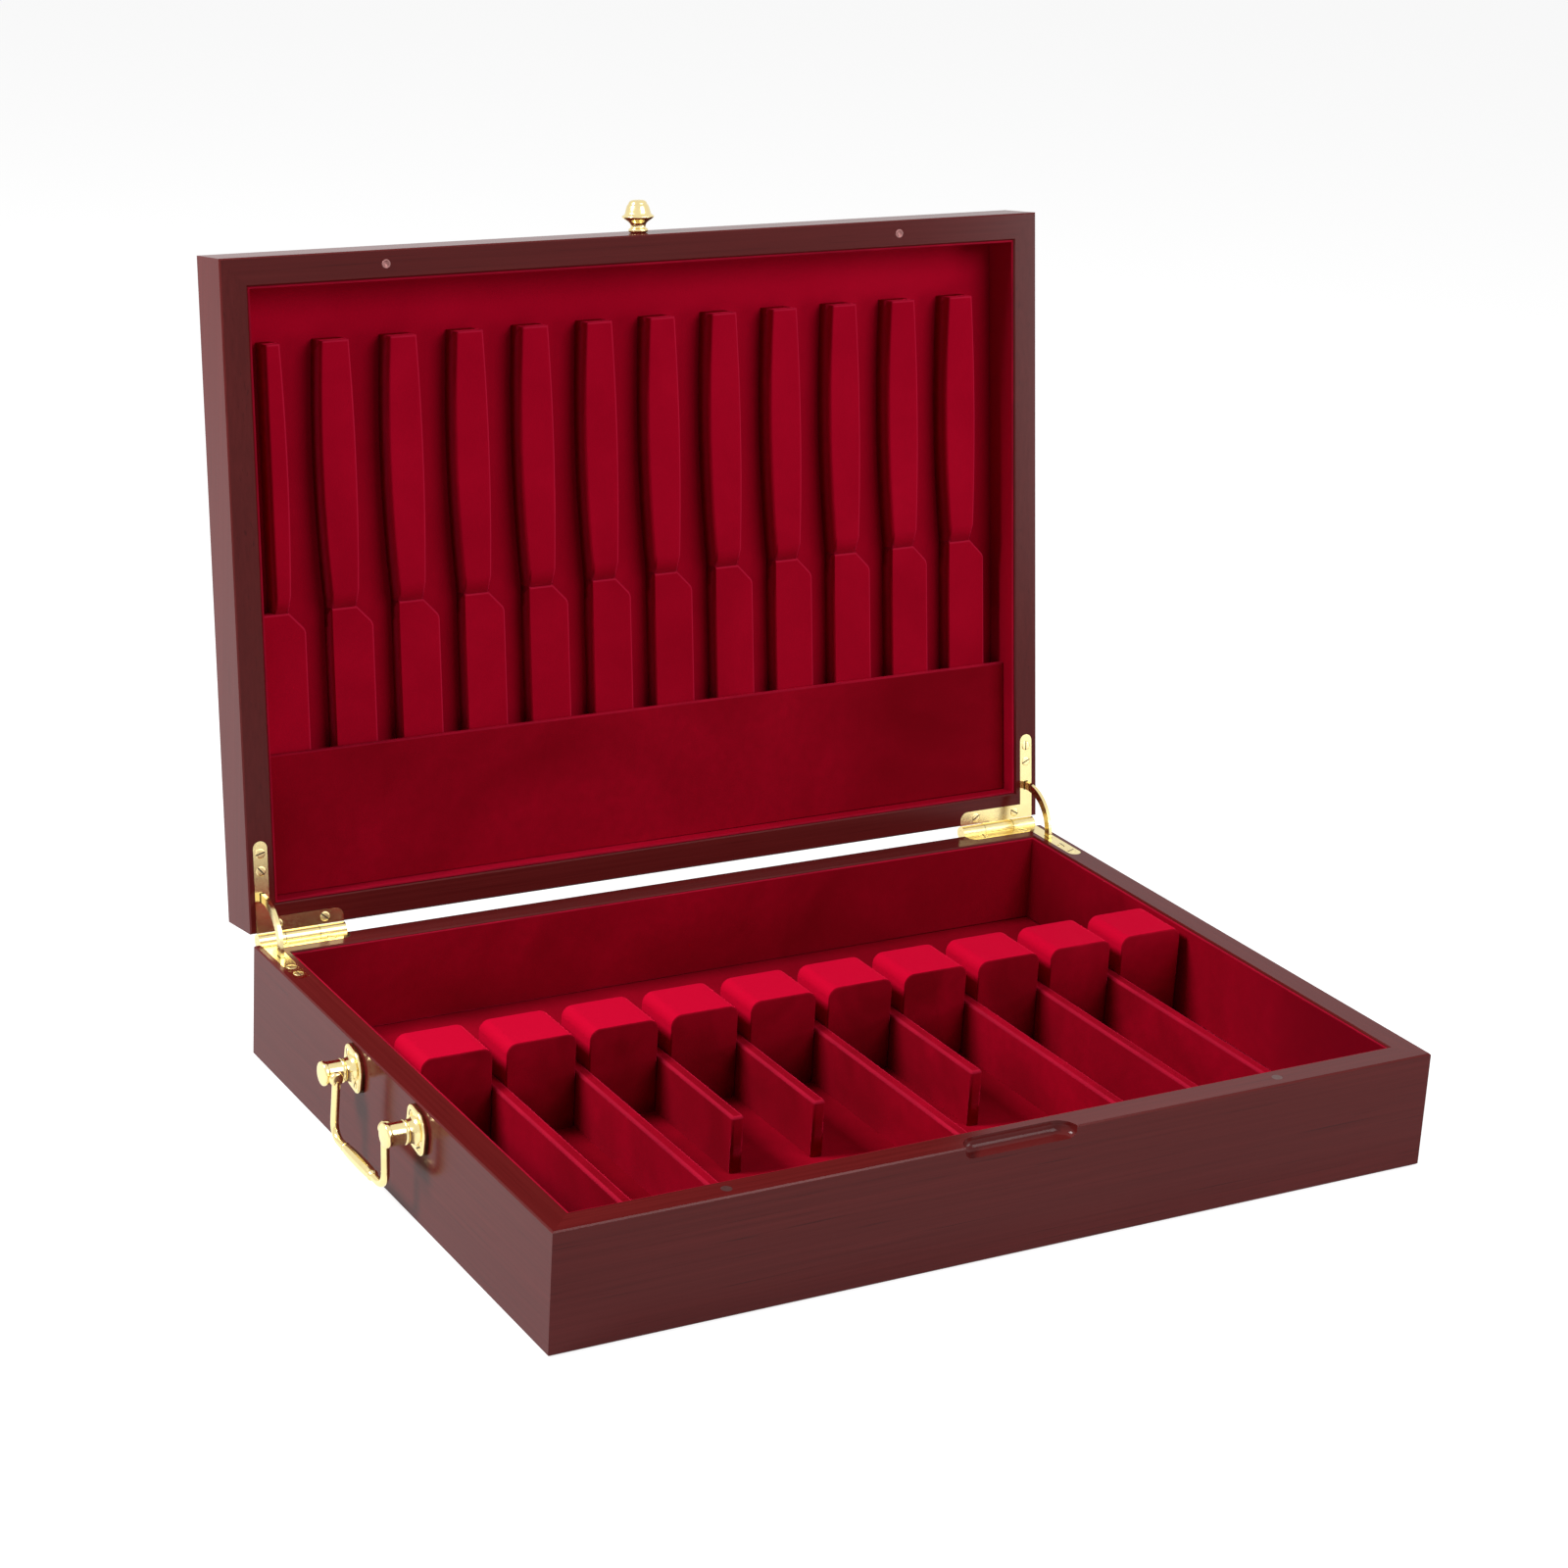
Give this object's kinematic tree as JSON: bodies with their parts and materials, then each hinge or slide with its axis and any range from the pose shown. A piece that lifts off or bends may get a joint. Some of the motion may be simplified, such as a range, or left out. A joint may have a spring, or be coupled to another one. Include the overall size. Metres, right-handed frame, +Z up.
{
  "type": "silverware chest",
  "caption": "Hinged wooden silverware chest, open, with a velvet-lined knife rack in the lid, padded slots in the base, stop hinges and a bail handle on its left side.",
  "frame": {"origin": "middle of the underside of the base, on the surface that the chest stands on", "axes": "+X to the right, +Y from the front to the hinged back, +Z up"},
  "size_m": [0.4155, 0.3542, 0.3496],
  "materials": {
    "mahogany": "satin lacquer, dark reddish brown",
    "velvet": "deep red velvet over card and foam",
    "felt": "thin brown felt",
    "brass": "polished",
    "steel": "plain"
  },
  "bodies": {
    "base": {"base_back": "mahogany", "base_bottom_panel": "mahogany", "base_catches": "steel", "base_felt": "felt", "base_floor_lining": "velvet", "base_front": "mahogany", "base_hinge_leaves": "brass", "base_left": "mahogany", "base_right": "mahogany", "base_wall_lining": "velvet", "block_01": "velvet", "block_02": "velvet", "block_03": "velvet", "block_04": "velvet", "block_05": "velvet", "block_06": "velvet", "block_07": "velvet", "block_08": "velvet", "block_09": "velvet", "block_10": "velvet", "divider_1": "velvet", "divider_2": "velvet", "divider_3": "velvet", "divider_4": "velvet", "divider_5": "velvet", "divider_6": "velvet", "divider_7": "velvet", "divider_8": "velvet", "divider_9": "velvet", "handle_posts": "brass", "hinge_pin_left": "brass", "hinge_pin_right": "brass"},
    "lid": {"knife_pocket": "velvet", "knife_ridges": "velvet", "lid_back": "mahogany", "lid_front": "mahogany", "lid_hinge_leaves": "brass", "lid_knob": "brass", "lid_left": "mahogany", "lid_magnets": "steel", "lid_panel_lining": "velvet", "lid_right": "mahogany", "lid_top_panel": "mahogany", "lid_wall_lining": "velvet"},
    "left_stay": {"hinge_stay_left": "brass"},
    "right_stay": {"hinge_stay_right": "brass"},
    "left_bail": {"left_bail": "brass"}
  },
  "joints": [
    {"name": "lid_hinge", "type": "hinge", "parent": "base", "child": "lid", "pos_m": [0, 0.1458, 0.05115], "axis": [1, 0, 0], "range_deg": [0, 98]},
    {"name": "left_stay_slide", "type": "hinge", "parent": "base", "child": "left_stay", "pos_m": [-0.194, 0.1458, 0.05115], "axis": [1, 0, 0], "range_deg": [0, 49]},
    {"name": "right_stay_slide", "type": "hinge", "parent": "base", "child": "right_stay", "pos_m": [0.194, 0.1458, 0.05115], "axis": [1, 0, 0], "range_deg": [0, 49]},
    {"name": "left_bail_pivot", "type": "hinge", "parent": "base", "child": "left_bail", "pos_m": [-0.2116, 0.002, 0.041], "axis": [0, 1, 0], "range_deg": [-20, 170]}
  ],
  "couplings": [
    {"joint": "left_stay_slide", "follows": "lid_hinge", "ratio": 0.5},
    {"joint": "right_stay_slide", "follows": "lid_hinge", "ratio": 0.5}
  ]
}
